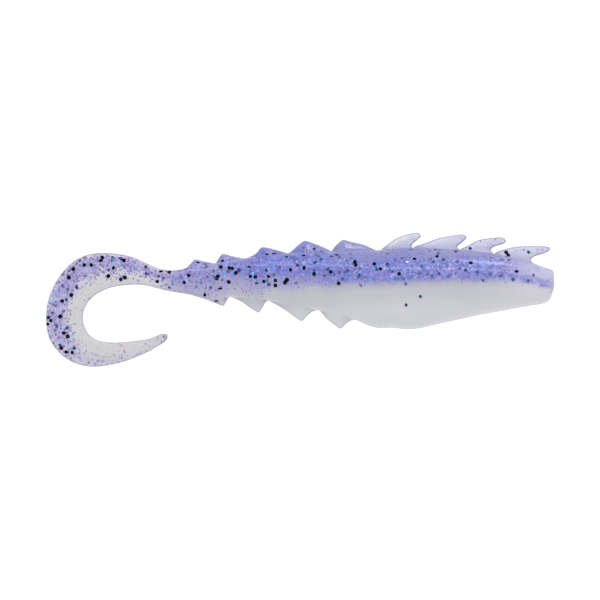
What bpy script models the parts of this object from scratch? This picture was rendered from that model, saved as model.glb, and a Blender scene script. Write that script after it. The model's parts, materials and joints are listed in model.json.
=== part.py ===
"""A soft plastic curl-tail lure with a shrimp-like body, nose along +X and back up along +Z.

The real lure is one flexible moulding of two plastisols, a clear violet back and a pearl belly.
Here it is a chain of rigid links from the nose to the tail's tip. Each link holds a back and a
belly solid, and meets the next link at a notch in the outline, where the moulding flexes. Four
forward-swept spines stand on the front link and flex at their roots.

Outlines are in millimetres in the XZ plane, with the origin at the centre of the flat nose face.
"""
import math
from collections import namedtuple

import bmesh
import bpy
from mathutils import Vector

MM = 0.001  # metres in one millimetre

GAP = 0.3  # clearance between neighbouring solids
THICKEST = 5.65  # the body's half thickness at its thickest station
FLATTEST_POWER = 5.0  # the section's power where the moulding is thinnest
TOOTH_HALF = (0.9, 0.4)  # half thickness of a tooth, at its root and at its edge
EDGE_HALF = 0.3  # half thickness of every other edge
ON_EDGE = 0.01  # shares closer than this to the core's edge count as past it
BODY_ROWS = 5  # rows of faces up one layer of a body link
TAIL_ROWS = 3  # the same on the thin links of the tail
SHARP_ANGLE = 40  # degrees between two faces from which their edge shows as a crease
WELD_REACH = 0.01  # points closer than this are one
HINGE_SIZE = 3.0  # drawn size of the empty on a joint

SPINE_HALF = 0.7  # half thickness of a spine
SPINE_ROUND = 0.3  # radius along a spine's edges
SPINE_STEPS = 3  # curve steps between two points of a spine's outline
ROUND_STEPS = 2  # faces across the rounding of a spine's edge
ROUND_ANGLE = 50  # degrees between two faces from which their edge is rounded

VIOLET = (0.36, 0.33, 0.68, 1.0)
PEARL = (0.66, 0.66, 0.70, 1.0)
CLEAR_VIOLET = (0.62, 0.60, 0.76, 1.0)
VIOLET_ROUGHNESS = 0.3
PEARL_ROUGHNESS = 0.35
CLEAR_ROUGHNESS = 0.25

# A station is a straight cut across the moulding: its back and belly edges, its half thickness,
# and the share of its height, from the belly edge, that is pearl.
Station = namedtuple("Station", "back_x back_z belly_x belly_z half pearl")
# A sway joint's axis lies along its station, so the links behind it swing to one side. An arch
# joint's axis runs across the lure, through the line between the layers. Limits are in degrees.
Joint = namedtuple("Joint", "kind low high station")
Link = namedtuple("Link", "name toothed rows stations")

JOINTS = (
    Joint("sway", -15, 15, Station(-35.6, 6.10, -40.0, -7.80, 4.90, 0.53)),
    Joint("arch", -10, 10, Station(-44.3, 6.05, -47.0, -5.85, 4.25, 0.43)),
    Joint("sway", -20, 20, Station(-53.0, 5.55, -57.1, -3.90, 3.55, 0.35)),
    Joint("arch", -14, 14, Station(-61.7, 4.50, -64.7, -3.10, 2.85, 0.34)),
    Joint("sway", -25, 25, Station(-67.5, 3.60, -69.0, -3.90, 2.15, 0.33)),
    Joint("arch", -18, 18, Station(-73.1, 2.60, -73.3, -2.45, 1.50, 0.36)),
    Joint("sway", -30, 30, Station(-79.1, 2.50, -78.9, -1.55, 1.05, 0.38)),
    Joint("arch", -6, 24, Station(-84.9, 4.90, -84.2, -0.65, 0.95, 0.42)),
    Joint("arch", -6, 24, Station(-90.2, 5.55, -88.6, -1.30, 0.90, 0.44)),
    Joint("sway", -30, 30, Station(-95.5, 4.20, -91.8, -2.55, 0.87, 0.44)),
    Joint("arch", -6, 24, Station(-99.5, 0.00, -93.4, -4.40, 0.85, 0.42)),
    Joint("arch", -6, 24, Station(-101.4, -6.00, -94.15, -7.00, 0.82, 0.40)),
    Joint("sway", -30, 30, Station(-100.7, -11.80, -93.5, -9.70, 0.80, 0.40)),
    Joint("arch", -6, 24, Station(-96.2, -16.00, -91.5, -11.80, 0.77, 0.42)),
    Joint("arch", -6, 24, Station(-88.8, -16.65, -88.0, -12.35, 0.72, 0.45)),
)

# Link k lies between joints k - 1 and k. Its stations run from the nose towards the tip.
LINKS = (
    Link("thorax", False, BODY_ROWS, (
        Station(0.0, 1.80, 0.0, -2.10, 2.35, 0.40),
        Station(-0.5, 2.30, -0.6, -3.20, 3.00, 0.46),
        Station(-1.6, 2.80, -1.7, -4.25, 3.50, 0.50),
        Station(-3.6, 3.50, -3.7, -4.82, 4.00, 0.50),
        Station(-8.0, 4.85, -9.0, -5.75, 4.75, 0.54),
        Station(-12.3, 5.60, -13.2, -6.50, 5.20, 0.56),
        Station(-18.0, 6.25, -19.0, -7.68, 5.55, 0.57),
        Station(-24.0, 6.55, -24.9, -9.00, 5.65, 0.59),
        Station(-27.5, 6.60, -28.4, -9.62, 5.62, 0.59),
        Station(-31.0, 6.50, -32.5, -9.35, 5.45, 0.59),
        Station(-33.6, 6.30, -35.4, -9.35, 5.25, 0.57),
    )),
    Link("segment_1", True, BODY_ROWS, (
        Station(-38.6, 7.30, -41.4, -8.45, 4.65, 0.52),
        Station(-41.5, 8.20, -42.2, -9.35, 4.50, 0.51),
        Station(-42.2, 8.00, -42.9, -9.35, 4.45, 0.50),
    )),
    Link("segment_2", True, BODY_ROWS, (
        Station(-46.8, 7.00, -48.8, -6.55, 4.05, 0.44),
        Station(-49.3, 7.95, -49.9, -7.80, 3.90, 0.44),
        Station(-50.2, 7.75, -50.6, -7.80, 3.85, 0.43),
    )),
    Link("segment_3", True, BODY_ROWS, (
        Station(-56.1, 6.45, -58.1, -5.00, 3.30, 0.36),
        Station(-57.8, 6.70, -58.8, -6.15, 3.15, 0.37),
        Station(-58.5, 6.60, -59.3, -6.15, 3.10, 0.36),
    )),
    Link("segment_4", True, BODY_ROWS, (
        Station(-65.2, 5.25, -65.6, -4.30, 2.50, 0.33),
        Station(-66.2, 5.35, -66.1, -4.90, 2.35, 0.33),
    )),
    Link("segment_5", True, BODY_ROWS, (
        Station(-69.5, 3.85, -70.4, -3.35, 1.90, 0.33),
        Station(-71.6, 4.20, -71.7, -2.95, 1.65, 0.34),
    )),
    Link("stalk", False, TAIL_ROWS, (
        Station(-74.8, 2.25, -74.8, -2.40, 1.35, 0.36),
        Station(-76.9, 2.10, -76.9, -2.10, 1.20, 0.37),
    )),
    Link("curl_1", False, TAIL_ROWS, (
        Station(-80.8, 3.10, -80.5, -1.15, 1.00, 0.39),
        Station(-82.6, 4.00, -82.2, -0.85, 0.97, 0.41),
    )),
    Link("curl_2", False, TAIL_ROWS, (
        Station(-87.4, 5.35, -86.3, -0.80, 0.92, 0.43),
    )),
    Link("curl_3", False, TAIL_ROWS, (
        Station(-92.9, 5.35, -90.4, -1.85, 0.88, 0.44),
    )),
    Link("curl_4", False, TAIL_ROWS, (
        Station(-97.7, 2.35, -92.7, -3.40, 0.86, 0.43),
    )),
    Link("curl_5", False, TAIL_ROWS, (
        Station(-100.8, -2.80, -93.9, -5.65, 0.83, 0.41),
    )),
    Link("curl_6", False, TAIL_ROWS, (
        Station(-101.4, -9.00, -94.0, -8.50, 0.81, 0.40),
    )),
    Link("curl_7", False, TAIL_ROWS, (
        Station(-98.9, -14.20, -92.7, -10.80, 0.78, 0.41),
    )),
    Link("curl_8", False, TAIL_ROWS, (
        Station(-92.6, -17.10, -90.0, -12.30, 0.75, 0.44),
    )),
    Link("curl_9", False, TAIL_ROWS, (
        Station(-85.5, -15.85, -85.8, -12.30, 0.70, 0.46),
        Station(-82.0, -14.65, -83.2, -12.05, 0.65, 0.47),
        Station(-79.2, -13.05, -80.6, -11.45, 0.60, 0.48),
        Station(-77.6, -12.00, -78.7, -10.70, 0.55, 0.49),
        Station(-77.2, -11.40, -77.9, -10.65, 0.45, 0.50),
    )),
)

# Each spine's outline, from the rear of its root up over the tip to the front of its root. The
# first and last points lie on the back, and the root is raised off it by the gap.
SPINES = (
    ((-34.3, 6.30), (-32.1, 8.20), (-29.8, 9.15), (-27.3, 9.60), (-26.5, 9.05), (-27.5, 8.15),
     (-28.3, 7.20), (-28.3, 6.60)),
    ((-27.6, 6.60), (-24.6, 7.85), (-21.4, 8.80), (-18.1, 9.30), (-17.5, 8.65), (-18.3, 7.70),
     (-19.2, 7.00), (-19.3, 6.33)),
    ((-18.2, 6.27), (-15.6, 7.80), (-13.2, 8.40), (-10.4, 8.75), (-9.5, 8.00), (-10.3, 7.30),
     (-12.1, 6.60), (-12.6, 5.65)),
    ((-11.7, 5.70), (-8.6, 6.65), (-5.0, 7.10), (-1.2, 6.95), (-0.6, 6.40), (-1.4, 5.75),
     (-3.8, 4.95), (-4.5, 4.05)),
)


def back_of(station):
    return Vector((station.back_x, 0.0, station.back_z))


def belly_of(station):
    return Vector((station.belly_x, 0.0, station.belly_z))


def height(station):
    return (back_of(station) - belly_of(station)).length


def point_at(station, share):
    """The point on the station at this share of its height, counted from the belly edge."""
    return belly_of(station).lerp(back_of(station), share)


def pivot_of(joint):
    """Where a joint's axis crosses the line between the two layers."""
    return point_at(joint.station, joint.station.pearl)


def share_on_chord(station, start, end):
    """The share of the station's height at which the straight line from start to end crosses it."""
    across = back_of(station) - belly_of(station)
    chord = end - start
    offset = start - belly_of(station)
    turn = across.x * chord.z - across.z * chord.x
    return (offset.x * chord.z - offset.z * chord.x) / turn


def core_of(station, link_stations, toothed):
    """The shares between which the rounded core lies. Past them a toothed link is a thin blade."""
    if not toothed:
        return 0.0, 1.0
    first, last = link_stations[0], link_stations[-1]
    low = share_on_chord(station, belly_of(first), belly_of(last))
    high = share_on_chord(station, back_of(first), back_of(last))
    return max(0.0, low), min(1.0, high)


def half_thickness(station, share, core):
    """Half the moulding's thickness there. The section is an ellipse where the body is thick, and
    flattens towards a ribbon with round edges where it is thin."""
    low, high = core
    slenderness = 1.0 - station.half / THICKEST
    power = 2.0 + (FLATTEST_POWER - 2.0) * slenderness**2
    off_centre = min(1.0, abs(2.0 * share - low - high) / (high - low))
    core_half = station.half * (1.0 - off_centre**power) ** (1.0 / power)
    thinnest = EDGE_HALF
    for depth, reach in ((low - share, low), (share - high, 1.0 - high)):
        if reach > ON_EDGE and depth > -ON_EDGE:
            root, edge = TOOTH_HALF
            along = min(1.0, max(0.0, depth / reach))
            thinnest = min(station.half, root + (edge - root) * along)
    return max(core_half, thinnest)


def set_back(joint, share, across):
    """How far a link's end face stands back from the joint's station, so that the joint can close
    to its limits. The face is two planes that meet in a ridge on the joint's axis."""
    if joint.kind == "sway":
        reach, limit = across, joint.high
    else:
        reach = abs(share - joint.station.pearl) * height(joint.station)
        limit = joint.high if share > joint.station.pearl else -joint.low
    return GAP / 2 + reach * math.tan(math.radians(limit / 2))


def inward(joint, neighbour):
    """The unit vector square to the joint's station that points to the neighbouring station."""
    across = (back_of(joint.station) - belly_of(joint.station)).normalized()
    square = Vector((across.z, 0.0, -across.x))
    towards = point_at(neighbour, 0.5) - point_at(joint.station, 0.5)
    return square if square.dot(towards) > 0 else -square


def layer_grid(link, before, after, layer):
    """Two grids of points over one layer of a link: its +Y side, and the plane Y = 0 within it."""
    ends = {}
    stations = list(link.stations)
    if before:
        stations.insert(0, before.station)
        ends[0] = (before, inward(before, link.stations[0]))
    if after:
        stations.append(after.station)
        ends[len(stations) - 1] = (after, inward(after, link.stations[-1]))
    side, middle = [], []
    for i, station in enumerate(stations):
        core = core_of(station, stations, link.toothed)
        seam = GAP / 2 / height(station)
        low, high = (station.pearl + seam, 1.0) if layer == "back" else (0.0, station.pearl - seam)
        side.append([])
        middle.append([])
        for row in range(link.rows + 1):
            # Rows crowd towards the outer edge, where the section curves most.
            eased = math.sin(math.pi / 2 * row / link.rows)
            share = low + (high - low) * (eased if layer == "back" else 1.0 - eased)
            half = half_thickness(station, share, core)
            point = point_at(station, share)
            point_mid = point.copy()
            if i in ends:
                joint, square = ends[i]
                point += square * set_back(joint, share, half)
                point_mid += square * set_back(joint, share, 0.0)
            side[-1].append(point + Vector((0.0, half, 0.0)))
            middle[-1].append(point_mid)
    if layer == "belly":
        side = [row[::-1] for row in side]
        middle = [row[::-1] for row in middle]
    return side, middle


def layer_mesh(name, side, middle, origin):
    """The +Y half of one layer as a mesh that is open on the plane Y = 0, about its origin."""
    bm = bmesh.new()
    outer = [[bm.verts.new((p - origin) * MM) for p in row] for row in side]
    rim = {}
    last, top = len(middle) - 1, len(middle[0]) - 1
    for i, row in enumerate(middle):
        for j, p in enumerate(row):
            if i in (0, last) or j in (0, top):
                rim[i, j] = bm.verts.new((p - origin) * MM)
    for i in range(last):
        for j in range(top):
            bm.faces.new((outer[i][j], outer[i + 1][j], outer[i + 1][j + 1], outer[i][j + 1]))
        bm.faces.new((rim[i, top], outer[i][top], outer[i + 1][top], rim[i + 1, top]))
        bm.faces.new((rim[i, 0], rim[i + 1, 0], outer[i + 1][0], outer[i][0]))
    for j in range(top):
        bm.faces.new((rim[0, j], outer[0][j], outer[0][j + 1], rim[0, j + 1]))
        bm.faces.new((rim[last, j], rim[last, j + 1], outer[last][j + 1], outer[last][j]))
    mesh = bpy.data.meshes.new(name)
    bm.to_mesh(mesh)
    bm.free()
    mesh.shade_smooth()
    mesh.set_sharp_from_angle(angle=math.radians(SHARP_ANGLE))
    return mesh


def plastic(name, colour, roughness):
    material = bpy.data.materials.new(name)
    material.use_nodes = True
    surface = material.node_tree.nodes["Principled BSDF"]
    surface.inputs["Base Color"].default_value = colour
    surface.inputs["Roughness"].default_value = roughness
    return material


def add_empty(name, collection, parent, at, parent_at):
    """An empty on a joint's axis, to which the pieces that the joint moves are parented."""
    empty = bpy.data.objects.new(name, None)
    empty.empty_display_size = HINGE_SIZE * MM
    empty.parent = parent
    empty.location = (at - parent_at) * MM
    collection.objects.link(empty)
    return empty


def add_link(link, before, after, origin, parent, collection, materials):
    for layer in ("back", "belly"):
        name = f"{link.name}_{layer}"
        side, middle = layer_grid(link, before, after, layer)
        piece = bpy.data.objects.new(name, layer_mesh(name, side, middle, origin))
        piece.data.materials.append(materials[layer])
        piece.parent = parent
        collection.objects.link(piece)
        mirror = piece.modifiers.new("both_sides", "MIRROR")
        mirror.use_axis = (False, True, False)
        mirror.merge_threshold = WELD_REACH * MM


def spine_axis(outline):
    """A spine's root line: its middle, raised so that the rounded root turns about it."""
    rear, front = Vector((*outline[0], 0.0)), Vector((*outline[-1], 0.0))
    along = (front - rear).normalized()
    up = Vector((-along.y, along.x, 0.0))
    raised = (rear + front) / 2 + up * (GAP + SPINE_HALF)
    return Vector((raised.x, 0.0, raised.y)), up


def add_spine(name, outline, parent, collection, material):
    """A flat blade from a closed outline, with round edges, on an empty at its root's axis."""
    axis, up = spine_axis(outline)
    hinge = add_empty(f"{name}_flex", collection, parent, axis, Vector((0.0, 0.0, 0.0)))
    curve = bpy.data.curves.new(name, "CURVE")
    curve.dimensions = "2D"
    curve.fill_mode = "BOTH"
    curve.resolution_u = SPINE_STEPS
    curve.extrude = SPINE_HALF * MM
    spline = curve.splines.new("BEZIER")
    spline.bezier_points.add(len(outline) - 1)
    root = (0, len(outline) - 1)
    for i, (x, z) in enumerate(outline):
        raised = Vector((x, z, 0.0)) + up * (GAP if i in root else 0.0)
        point = spline.bezier_points[i]
        point.co = (raised - Vector((axis.x, axis.z, 0.0))) * MM
        point.handle_left_type = point.handle_right_type = "VECTOR" if i in root else "AUTO"
    spline.use_cyclic_u = True
    piece = bpy.data.objects.new(name, curve)
    piece.rotation_euler.x = math.pi / 2
    piece.parent = hinge
    piece.data.materials.append(material)
    collection.objects.link(piece)
    weld = piece.modifiers.new("weld_caps", "WELD")
    weld.merge_threshold = WELD_REACH * MM
    rounding = piece.modifiers.new("round_edges", "BEVEL")
    rounding.width = SPINE_ROUND * MM
    rounding.segments = ROUND_STEPS
    rounding.limit_method = "ANGLE"
    rounding.angle_limit = math.radians(ROUND_ANGLE)


def main():
    for old in list(bpy.data.objects):
        bpy.data.objects.remove(old)
    collection = bpy.data.collections.new("curl_tail_lure")
    bpy.context.scene.collection.children.link(collection)
    materials = {
        "back": plastic("violet_plastisol", VIOLET, VIOLET_ROUGHNESS),
        "belly": plastic("pearl_plastisol", PEARL, PEARL_ROUGHNESS),
        "spine": plastic("clear_violet_plastisol", CLEAR_VIOLET, CLEAR_ROUGHNESS),
    }
    origin, parent = Vector((0.0, 0.0, 0.0)), None
    for k, link in enumerate(LINKS):
        before = JOINTS[k - 1] if k > 0 else None
        after = JOINTS[k] if k < len(JOINTS) else None
        if before:
            at = pivot_of(before)
            parent = add_empty(f"{link.name}_{before.kind}", collection, parent, at, origin)
            origin = at
        add_link(link, before, after, origin, parent, collection, materials)
    for number, outline in enumerate(SPINES, start=1):
        add_spine(f"spine_{number}", outline, None, collection, materials["spine"])
    bpy.context.view_layer.update()


main()
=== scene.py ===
"""The looks of the soft plastic lure: one smooth moulding in violet and pearl, full of glitter.

Lengths in the tables are in millimetres in the row frame: +X out of the nose, +Z up through the
back, and Y = 0 through the middle. The moulding is lofted as one surface from nose to tail tip,
then divided in the middle of each CAD link, so that every piece reaches across one joint.
"""
import json
import math
import random
from collections import namedtuple

import bpy
import numpy as np
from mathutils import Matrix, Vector
from mathutils.bvhtree import BVHTree


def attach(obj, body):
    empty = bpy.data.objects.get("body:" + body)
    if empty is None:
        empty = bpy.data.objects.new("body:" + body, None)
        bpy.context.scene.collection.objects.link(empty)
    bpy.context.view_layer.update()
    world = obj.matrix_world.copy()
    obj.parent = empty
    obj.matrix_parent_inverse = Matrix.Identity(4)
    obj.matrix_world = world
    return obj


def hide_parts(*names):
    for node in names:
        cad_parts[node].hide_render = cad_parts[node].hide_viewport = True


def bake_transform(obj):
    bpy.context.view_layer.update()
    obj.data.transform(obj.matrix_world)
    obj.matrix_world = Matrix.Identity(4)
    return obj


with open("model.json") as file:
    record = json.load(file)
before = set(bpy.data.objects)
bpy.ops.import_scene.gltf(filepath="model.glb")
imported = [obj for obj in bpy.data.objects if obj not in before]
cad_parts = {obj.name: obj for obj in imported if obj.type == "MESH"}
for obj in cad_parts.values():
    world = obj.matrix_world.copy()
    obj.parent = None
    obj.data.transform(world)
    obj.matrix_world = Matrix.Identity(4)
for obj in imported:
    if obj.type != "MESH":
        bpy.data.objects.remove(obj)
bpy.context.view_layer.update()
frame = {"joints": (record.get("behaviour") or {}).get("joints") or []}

MM = 0.001
rng = random.Random(7)

# ---------------------------------------------------------------- the outline

# A station is a straight cut across the moulding: its back and belly edges, its half thickness,
# and the share of its height, from the belly edge, that is pearl. corner says where an outline
# turns sharply there: k at the back, y at the belly. joint marks a cut on a joint's axis.
Station = namedtuple("Station", "back_x back_z belly_x belly_z half pearl corner joint")


def cut(back_x, back_z, belly_x, belly_z, half, pearl, corner="", joint=False):
    return Station(back_x, back_z, belly_x, belly_z, half, pearl, corner, joint)


STATIONS = (
    # front body
    cut(0.00, 1.40, 0.00, -1.70, 1.95, 0.12),
    cut(-0.06, 1.90, -0.15, -2.15, 2.50, 0.14),
    cut(-0.35, 2.28, -0.50, -3.15, 2.90, 0.26),
    cut(-1.30, 2.62, -1.00, -4.00, 3.35, 0.37),
    cut(-2.40, 3.00, -1.95, -4.45, 3.70, 0.44),
    cut(-4.30, 3.72, -4.70, -4.95, 4.15, 0.51),
    cut(-8.00, 4.78, -8.50, -5.64, 4.75, 0.545),
    cut(-11.9, 5.56, -12.3, -6.33, 5.15, 0.555),
    cut(-15.5, 6.04, -16.1, -7.06, 5.40, 0.565),
    cut(-19.0, 6.38, -20.0, -7.94, 5.56, 0.575),
    cut(-23.0, 6.62, -24.4, -8.90, 5.64, 0.590),
    cut(-25.8, 6.70, -27.0, -9.50, 5.65, 0.595),
    cut(-28.3, 6.72, -29.5, -9.66, 5.60, 0.595),
    cut(-30.6, 6.64, -32.3, -9.36, 5.50, 0.590),
    cut(-32.8, 6.50, -35.2, -9.40, 5.33, 0.580),
    cut(-34.4, 6.28, -37.4, -8.78, 5.12, 0.560),
    cut(-35.5, 6.16, -39.9, -7.82, 4.90, 0.53, "k", True),
    # segment 1
    cut(-36.8, 6.78, -40.7, -8.00, 4.80, 0.52),
    cut(-38.1, 7.32, -41.4, -8.50, 4.70, 0.52),
    cut(-40.2, 7.80, -42.0, -9.10, 4.58, 0.515),
    cut(-42.15, 8.36, -42.6, -9.62, 4.48, 0.51, "ky"),
    cut(-43.05, 7.58, -43.9, -8.75, 4.40, 0.49),
    cut(-43.85, 6.80, -45.6, -7.35, 4.33, 0.46),
    cut(-44.4, 5.98, -47.0, -5.85, 4.25, 0.43, "k", True),
    # segment 2
    cut(-46.1, 6.80, -48.2, -6.15, 4.10, 0.43),
    cut(-48.1, 7.60, -49.3, -7.05, 3.95, 0.44),
    cut(-49.8, 8.16, -50.35, -8.15, 3.85, 0.44, "ky"),
    cut(-51.2, 7.10, -52.3, -6.78, 3.74, 0.42),
    cut(-52.3, 6.10, -54.6, -5.25, 3.64, 0.38),
    cut(-53.1, 5.56, -57.1, -3.92, 3.55, 0.35, "ky", True),
    # segment 3
    cut(-54.9, 6.08, -57.7, -4.45, 3.42, 0.36),
    cut(-56.6, 6.55, -58.2, -5.35, 3.30, 0.37),
    cut(-58.45, 6.85, -58.95, -6.45, 3.20, 0.38, "ky"),
    cut(-59.45, 5.62, -60.5, -5.50, 3.08, 0.37),
    cut(-60.45, 5.00, -62.5, -4.10, 2.97, 0.36),
    cut(-61.7, 4.60, -64.7, -3.12, 2.85, 0.35, "y", True),
    # segment 4
    cut(-63.1, 4.72, -65.2, -3.72, 2.70, 0.35),
    cut(-64.6, 5.07, -65.6, -4.45, 2.55, 0.35),
    cut(-66.25, 5.58, -66.05, -5.08, 2.40, 0.35, "ky"),
    cut(-66.95, 4.60, -67.4, -4.55, 2.28, 0.34),
    cut(-67.6, 3.52, -69.0, -3.92, 2.15, 0.34, "k", True),
    # segment 5
    cut(-69.5, 3.86, -70.4, -3.45, 1.95, 0.33),
    cut(-71.75, 4.42, -71.7, -3.05, 1.75, 0.32, "k"),
    cut(-72.5, 3.60, -72.6, -2.78, 1.62, 0.32),
    cut(-73.3, 2.78, -73.4, -2.62, 1.50, 0.33, "", True),
    # neck of the tail
    cut(-74.8, 2.26, -74.9, -2.38, 1.36, 0.34),
    cut(-76.9, 2.16, -76.9, -2.03, 1.20, 0.34),
    cut(-79.1, 2.56, -78.9, -1.56, 1.05, 0.35, "", True),
    # curled ribbon
    cut(-80.9, 3.32, -80.6, -1.10, 1.00, 0.37),
    cut(-82.8, 4.26, -82.3, -0.80, 0.97, 0.39),
    cut(-84.9, 5.00, -84.2, -0.76, 0.95, 0.41, "", True),
    cut(-87.4, 5.47, -86.3, -0.92, 0.92, 0.43),
    cut(-90.2, 5.62, -88.5, -1.32, 0.90, 0.44, "", True),
    cut(-93.0, 5.30, -90.2, -2.00, 0.88, 0.45),
    cut(-95.5, 4.24, -91.65, -2.86, 0.87, 0.45, "", True),
    cut(-97.85, 2.20, -92.75, -3.84, 0.86, 0.45),
    cut(-99.65, -0.4, -93.4, -4.78, 0.85, 0.44, "", True),
    cut(-100.85, -3.1, -93.9, -5.95, 0.83, 0.43),
    cut(-101.43, -5.9, -94.10, -7.15, 0.82, 0.42, "", True),
    cut(-101.45, -8.8, -93.98, -8.45, 0.81, 0.42),
    cut(-100.82, -11.5, -93.55, -9.68, 0.80, 0.42, "", True),
    cut(-99.1, -14.1, -92.80, -10.80, 0.78, 0.43),
    cut(-96.35, -16.15, -91.60, -11.66, 0.77, 0.44, "", True),
    cut(-92.8, -17.12, -89.95, -12.16, 0.75, 0.47),
    cut(-88.9, -16.84, -87.9, -12.28, 0.72, 0.50, "", True),
    cut(-85.5, -15.98, -85.5, -12.18, 0.70, 0.54),
    cut(-82.6, -14.88, -83.2, -11.92, 0.66, 0.58),
    cut(-80.3, -13.78, -81.3, -11.62, 0.61, 0.62),
    cut(-78.8, -12.85, -79.9, -11.20, 0.56, 0.66),
    cut(-77.7, -12.15, -78.9, -10.72, 0.50, 0.70),
    cut(-77.2, -11.55, -78.1, -10.52, 0.40, 0.72),
    cut(-77.2, -11.05, -77.5, -10.62, 0.24, 0.74),
)
LINK_NAMES = ("thorax", "segment_1", "segment_2", "segment_3", "segment_4", "segment_5", "stalk",
              "curl_1", "curl_2", "curl_3", "curl_4", "curl_5", "curl_6", "curl_7", "curl_8",
              "curl_9")
FIRST_TOOTHED, LAST_TOOTHED = 1, 5  # links whose edges carry teeth

RIB_STEP = 0.34  # distance between ribs of the loft along the moulding
BELLY_ROWS = 16  # rows of faces from the belly edge up to the line between the layers
BACK_ROWS = 20  # rows of faces from there up to the back edge
SEAM_COLUMN = BELLY_ROWS  # the columns that run along the line between the layers
RING = 2 * (BELLY_ROWS + BACK_ROWS)
BACK_COLUMNS = range(SEAM_COLUMN, RING - SEAM_COLUMN + 1)
BELLY_COLUMNS = [c % RING for c in range(RING - SEAM_COLUMN, RING + SEAM_COLUMN + 1)]
CORNER_RADIUS = 0.32  # how far a corner of the outline is rounded
HALF_SOFTENING = 3  # rounds of averaging along the ribs: of the half thickness,
PEARL_SOFTENING = 12  # of the pearl's share,
CORE_SOFTENING = 4  # and of the core's two edges
CORE_LOW, CORE_HIGH = 0.45, 0.55  # the shares of the height that the core always covers

THICKEST = 5.65
RIBBON_POWER = 5.0  # the section's power where the moulding is thinnest
FIN_ROUND = 0.42  # radius of the edge of a tooth
FIN_TAPER = 0.70  # how fast a tooth thickens inwards from its edge
BLEND_SOFTNESS = 2.6  # radius of the fillet between a tooth and the core
TINY = 1e-4  # keeps a division by a distance away from zero


def outline(points, corners, steps):
    """A smooth curve through the points, as an array, that turns sharply only at its corners.
    It has steps[n] samples between points n and n + 1."""
    points = np.array(points, float)
    count = len(points)
    chords = np.linalg.norm(np.diff(points, axis=0), axis=1)
    slopes = np.diff(points, axis=0) / chords[:, None]
    into = np.zeros_like(points)
    out = np.zeros_like(points)
    for n in range(count):
        before, after = slopes[max(0, n - 1)], slopes[min(count - 2, n)]
        if corners[n]:
            into[n], out[n] = before, after
            continue
        near, far = chords[max(0, n - 1)], chords[min(count - 2, n)]
        into[n] = out[n] = (before * far + after * near) / (near + far)
    curve = []
    for n in range(count - 1):
        for k in range(steps[n]):
            t = k / steps[n]
            curve.append(
                (2 * t**3 - 3 * t**2 + 1) * points[n]
                + (t**3 - 2 * t**2 + t) * chords[n] * out[n]
                + (3 * t**2 - 2 * t**3) * points[n + 1]
                + (t**3 - t**2) * chords[n] * into[n + 1]
            )
    curve.append(points[-1])
    return np.array(curve)


def softened(values, reach):
    """The values along the ribs, averaged over a few neighbours. Both ends stay."""
    values = np.array(values, float)
    for _ in range(reach):
        values[1:-1] = 0.25 * values[:-2] + 0.5 * values[1:-1] + 0.25 * values[2:]
    return values


def smoothstep(low, high, value):
    t = np.clip((value - low) / (high - low), 0.0, 1.0)
    return t * t * (3 - 2 * t)


def distance_to_outline(points, edges):
    """Each point's distance from the nearest stretch of the closed outline, in the XZ plane."""
    start, end = edges, np.roll(edges, -1, axis=0)
    along = end - start
    length2 = np.maximum((along**2).sum(1), 1e-12)
    nearest = np.empty(len(points))
    for first in range(0, len(points), 2000):
        some = points[first:first + 2000, None, :]
        t = np.clip(((some - start) * along).sum(2) / length2, 0, 1)
        gap = some - (start + t[..., None] * along)
        nearest[first:first + 2000] = np.sqrt((gap**2).sum(2).min(1))
    return nearest


def section_half(share, low, high, half, edge_distance):
    """Half the moulding's thickness: a rounded core between the shares low and high, and a thin
    tooth past them, which the distance from the outline shapes."""
    slender = 1.0 - half / THICKEST
    power = 2.0 + (RIBBON_POWER - 2.0) * slender**2
    off_centre = np.clip(np.abs(2 * share - low - high) / (high - low), 0.0, 1.0)
    core = half * (1.0 - off_centre**power) ** (1.0 / power)
    rounding = np.clip(edge_distance / FIN_ROUND, 0.0, 1.0)
    fin = FIN_ROUND * np.sqrt(1.0 - (1.0 - rounding) ** 2)
    fin += FIN_TAPER * np.maximum(0.0, edge_distance - FIN_ROUND)
    fin = np.minimum(fin, half)
    soft = np.clip(edge_distance, TINY, BLEND_SOFTNESS)
    closeness = np.maximum(0.0, soft - np.abs(core - fin)) / soft
    fillet = closeness**2 * soft / 4 * (1.0 - (core / half) ** 2)
    return np.maximum(core, fin) + fillet


def core_shares(back, belly, notches):
    """For each rib, the shares of its height between which the rounded core lies."""
    low, high = np.zeros(len(back)), np.ones(len(back))
    for first, last in zip(notches[:-1], notches[1:]):
        for i in range(first, last + 1):
            across = back[i] - belly[i]
            for edge, shares in ((belly, low), (back, high)):
                chord = edge[last] - edge[first]
                offset = edge[first] - belly[i]
                shares[i] = (offset[0] * chord[1] - offset[1] * chord[0]) / (
                    across[0] * chord[1] - across[1] * chord[0])
    low = softened(np.clip(low, 0.0, CORE_LOW), CORE_SOFTENING)
    return low, softened(np.clip(high, CORE_HIGH, 1.0), CORE_SOFTENING)


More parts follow.
